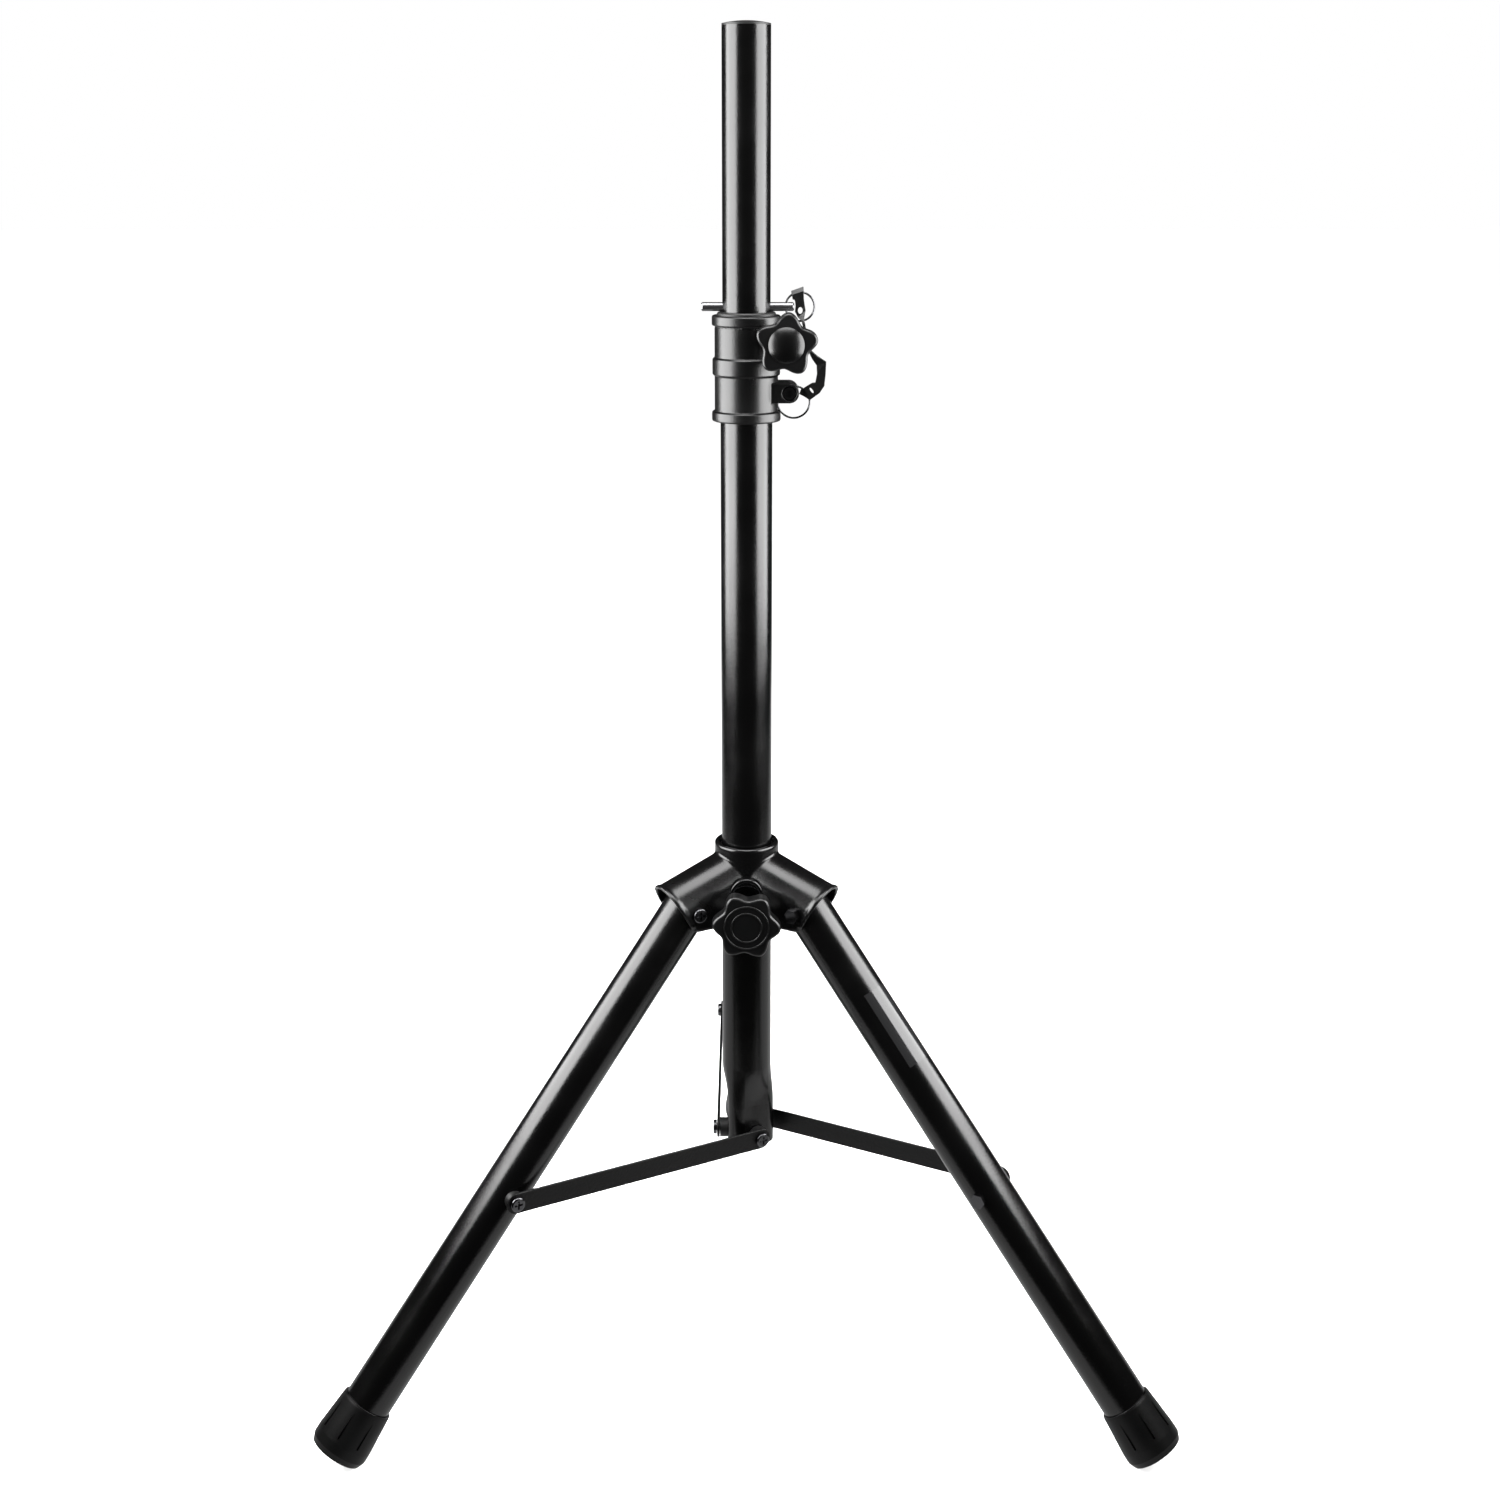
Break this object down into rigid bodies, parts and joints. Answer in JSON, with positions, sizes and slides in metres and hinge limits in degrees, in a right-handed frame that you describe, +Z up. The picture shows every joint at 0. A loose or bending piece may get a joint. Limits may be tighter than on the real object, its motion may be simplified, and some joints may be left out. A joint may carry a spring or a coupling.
{
  "type": "speaker tripod stand",
  "caption": "Folding tripod stand for a loudspeaker: telescopic pole with pinch collar and lock pin, sliding hub, braced tubular legs and rubber feet.",
  "frame": {"origin": "on the floor, on the pole's axis", "axes": "+Z up along the pole, -Y towards the front where the hub knob is, +X towards the lock pin's ring"},
  "size_m": [0.628, 0.5496, 1.0243],
  "materials": {
    "powder_coat": "black satin powder coat with fine grain",
    "hub_coat": "black semi-gloss powder coat",
    "collar_coat": "black satin coat",
    "brace_coat": "black matt grainy coat",
    "chrome": "bright chrome",
    "ring_wire": "dull steel wire",
    "rubber": "matt black rubber",
    "strap_plastic": "matt black plastic",
    "knob_plastic": "matt black plastic",
    "cap_gloss": "gloss black plastic",
    "bush_plastic": "black plastic",
    "brass": "plain brass",
    "zinc_steel": "zinc-plated steel",
    "black_bolt": "black-oxide steel"
  },
  "bodies": {
    "pole": {"outer_tube": "powder_coat", "brace_spacers": "bush_plastic", "pole_brace_bolts": "black_bolt", "pole_brace_nuts": "zinc_steel", "collar": "collar_coat", "pole_liner": "bush_plastic", "mast_bush": "bush_plastic", "collar_bolt": "black_bolt", "collar_nut": "black_bolt", "clamp_nut": "zinc_steel", "tether_ring": "ring_wire"},
    "mast": {"mast_tube": "powder_coat", "mast_cap": "bush_plastic", "mast_foot_plug": "bush_plastic"},
    "pin": {"lock_pin": "chrome", "pin_ring": "ring_wire", "tether_strap": "strap_plastic"},
    "hub": {"hub_shell": "hub_coat", "hub_bush": "bush_plastic", "clamp_shoe": "brass", "hub_weld_nut": "zinc_steel", "leg_pivot_bolts": "black_bolt", "leg_pivot_nuts": "black_bolt"},
    "left_leg": {"leg_tube_left": "powder_coat", "foot_left": "rubber", "leg_brace_bolt_left": "black_bolt", "leg_brace_nut_left": "black_bolt", "leg_saddle_left": "bush_plastic"},
    "left_brace": {"brace_left": "brace_coat", "brace_bolt_head_left": "black_bolt"},
    "right_leg": {"leg_tube_right": "powder_coat", "foot_right": "rubber", "leg_brace_bolt_right": "black_bolt", "leg_brace_nut_right": "black_bolt", "leg_saddle_right": "bush_plastic"},
    "right_brace": {"brace_right": "brace_coat", "brace_bolt_head_right": "black_bolt"},
    "rear_leg": {"leg_tube_rear": "powder_coat", "foot_rear": "rubber", "leg_brace_bolt_rear": "black_bolt", "leg_brace_nut_rear": "black_bolt", "leg_saddle_rear": "bush_plastic"},
    "rear_brace": {"brace_rear": "brace_coat", "brace_bolt_head_rear": "black_bolt"},
    "hub_knob_travel": {"hub_knob_washer": "zinc_steel"},
    "hub_knob": {"hub_knob_body": "knob_plastic", "hub_knob_screw": "zinc_steel"},
    "clamp_knob_travel": {"clamp_knob_washer": "zinc_steel"},
    "clamp_knob": {"clamp_knob_body": "knob_plastic", "clamp_knob_cap": "cap_gloss", "clamp_knob_screw": "zinc_steel"}
  },
  "joints": [
    {"name": "mast_slide", "type": "slide", "parent": "pole", "child": "mast", "axis": [0, 0, 1], "range_m": [0, 0.45]},
    {"name": "hub_slide", "type": "slide", "parent": "pole", "child": "hub", "axis": [0, 0, 1], "range_m": [0, 0.2505]},
    {"name": "left_leg_fold", "type": "hinge", "parent": "hub", "child": "left_leg", "pos_m": [-0.04557, -0.02631, 0.37365], "axis": [0.5, -0.866, 0], "range_deg": [0, 38.84]},
    {"name": "left_brace_fold", "type": "hinge", "parent": "pole", "child": "left_brace", "pos_m": [0.01125, -0.01949, 0.1774], "axis": [0.5, -0.866, 0], "range_deg": [-74.08, 0]},
    {"name": "right_leg_fold", "type": "hinge", "parent": "hub", "child": "right_leg", "pos_m": [0.04557, -0.02631, 0.37365], "axis": [0.5, 0.866, 0], "range_deg": [0, 38.84]},
    {"name": "right_brace_fold", "type": "hinge", "parent": "pole", "child": "right_brace", "pos_m": [0.01125, 0.01949, 0.1774], "axis": [0.5, 0.866, 0], "range_deg": [-74.08, 0]},
    {"name": "rear_leg_fold", "type": "hinge", "parent": "hub", "child": "rear_leg", "pos_m": [0, 0.05262, 0.37365], "axis": [-1, 0, 0], "range_deg": [0, 38.84]},
    {"name": "rear_brace_fold", "type": "hinge", "parent": "pole", "child": "rear_brace", "pos_m": [-0.0225, 0, 0.1774], "axis": [-1, 0, 0], "range_deg": [-74.08, 0]},
    {"name": "hub_knob_advance", "type": "slide", "parent": "hub", "child": "hub_knob_travel", "axis": [0, -1, 0], "range_m": [0, 0.0025]},
    {"name": "hub_knob_turn", "type": "hinge", "parent": "hub_knob_travel", "child": "hub_knob", "pos_m": [0, -0.05, 0.3702], "axis": [0, -1, 0], "range_deg": [0, 720]},
    {"name": "clamp_knob_advance", "type": "slide", "parent": "pole", "child": "clamp_knob_travel", "axis": [0, -1, 0], "range_m": [0, 0.0025]},
    {"name": "clamp_knob_turn", "type": "hinge", "parent": "clamp_knob_travel", "child": "clamp_knob", "pos_m": [0.0284, -0.03, 0.8002], "axis": [0, -1, 0], "range_deg": [0, 720]},
    {"name": "pin_slide", "type": "slide", "parent": "pole", "child": "pin", "axis": [1, 0, 0], "range_m": [0, 0.055]}
  ],
  "couplings": [
    {"joint": "left_leg_fold", "follows": "hub_slide", "rad_per_m": 2.7061},
    {"joint": "left_brace_fold", "follows": "hub_slide", "rad_per_m": -5.1617},
    {"joint": "right_leg_fold", "follows": "hub_slide", "rad_per_m": 2.7061},
    {"joint": "right_brace_fold", "follows": "hub_slide", "rad_per_m": -5.1617},
    {"joint": "rear_leg_fold", "follows": "hub_slide", "rad_per_m": 2.7061},
    {"joint": "rear_brace_fold", "follows": "hub_slide", "rad_per_m": -5.1617},
    {"joint": "hub_knob_advance", "follows": "hub_knob_turn", "m_per_rad": 0.00019894},
    {"joint": "clamp_knob_advance", "follows": "clamp_knob_turn", "m_per_rad": 0.00019894}
  ]
}
